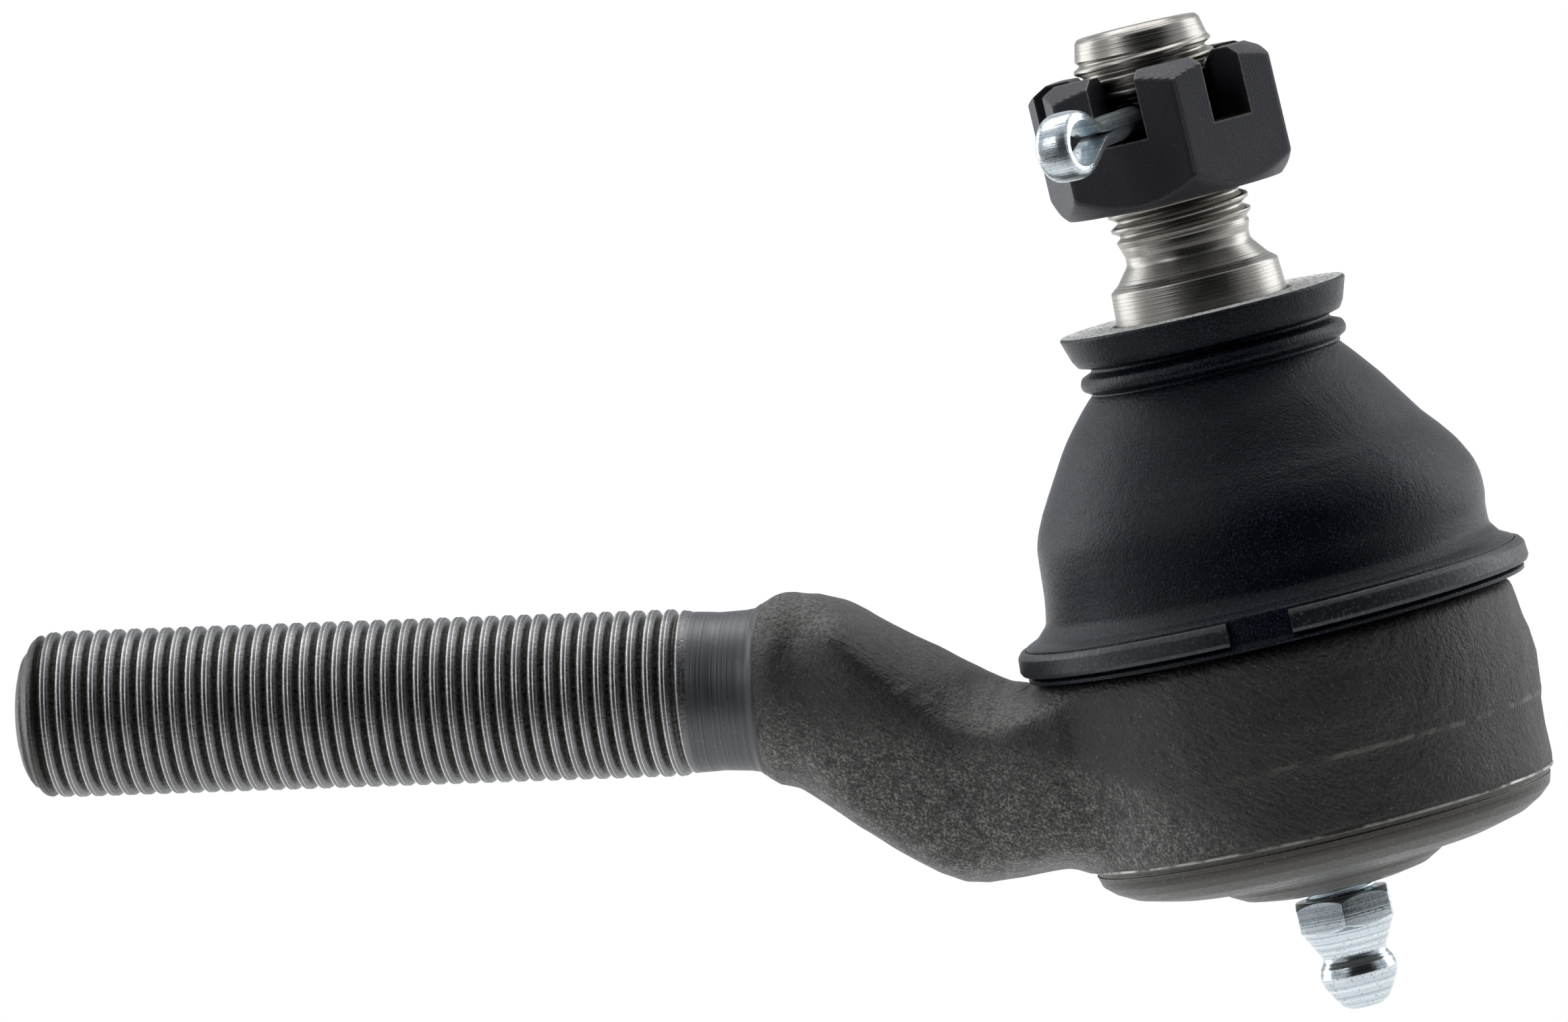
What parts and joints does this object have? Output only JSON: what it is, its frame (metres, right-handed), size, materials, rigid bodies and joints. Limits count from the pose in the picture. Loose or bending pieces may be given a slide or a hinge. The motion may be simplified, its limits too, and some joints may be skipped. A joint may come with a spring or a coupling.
{
  "type": "tie rod end",
  "caption": "Outer tie rod end: drop-forged ball joint housing with a threaded shank, rubber boot, tapered ball stud, slotted nut, cotter pin and grease fitting.",
  "frame": {"origin": "centre of the ball", "axes": "+Z along the stud towards its threaded end; the threaded shank runs towards -X, raised 10.5 degrees towards the stud; +Y completes the right-handed frame"},
  "size_m": [0.1305, 0.0444, 0.0852],
  "materials": {
    "forged_steel": "dark oiled forging scale, mottled; bright crests on the rolled thread",
    "seat_polymer": "natural acetal, smooth",
    "spring_steel": "oiled spring steel",
    "pressed_cover": "pressed steel with a thin oil film",
    "zinc_plate": "bright zinc plate",
    "pin_zinc": "bright zinc plated wire with draw marks",
    "ball_steel": "ground bearing steel",
    "boot_rubber": "satin moulded rubber",
    "ring_plastic": "satin black band",
    "turned_steel": "turned steel with tool marks, rolled thread",
    "black_oxide": "blue-black oxide, satin"
  },
  "bodies": {
    "housing": {"housing": "forged_steel", "upper_bearing_seat": "seat_polymer", "cover_plate": "pressed_cover", "preload_spring": "spring_steel", "grease_fitting_body": "zinc_plate", "fitting_spring": "spring_steel", "boot_retaining_ring": "ring_plastic"},
    "lower_seat": {"lower_bearing_seat": "seat_polymer"},
    "check_ball": {"fitting_check_ball": "ball_steel"},
    "boot": {"dust_boot": "boot_rubber"},
    "collar": {"boot_collar": "boot_rubber"},
    "stud": {"ball_stud": "turned_steel", "slotted_nut": "black_oxide"},
    "cotter_pin": {"cotter_pin": "pin_zinc"}
  },
  "joints": [
    {"name": "stud_swing_fore_aft", "type": "hinge", "parent": "housing", "child": "boot", "pos_m": [0, 0, 0], "axis": [0, 1, 0], "range_deg": [-20, 20], "deforming": ["dust_boot"]},
    {"name": "stud_swing_sideways", "type": "hinge", "parent": "boot", "child": "collar", "pos_m": [0, 0, 0], "axis": [1, 0, 0], "range_deg": [-20, 20]},
    {"name": "stud_spin", "type": "hinge", "parent": "collar", "child": "stud", "pos_m": [0, 0, 0], "axis": [0, 0, 1], "continuous": true},
    {"name": "cotter_pin_pull", "type": "slide", "parent": "stud", "child": "cotter_pin", "axis": [-0.2334, -0.9724, 0], "range_m": [0, 0.035]},
    {"name": "bearing_preload", "type": "slide", "parent": "housing", "child": "lower_seat", "axis": [0, 0, 1], "range_m": [-0.00035, 0], "stiffness_N_per_m": 60000, "springref_m": 0.002, "deforming": ["preload_spring"]},
    {"name": "grease_check_ball", "type": "slide", "parent": "housing", "child": "check_ball", "axis": [0, 0, 1], "range_m": [0, 0.0008], "stiffness_N_per_m": 300, "springref_m": -0.0008, "deforming": ["fitting_spring"]}
  ]
}
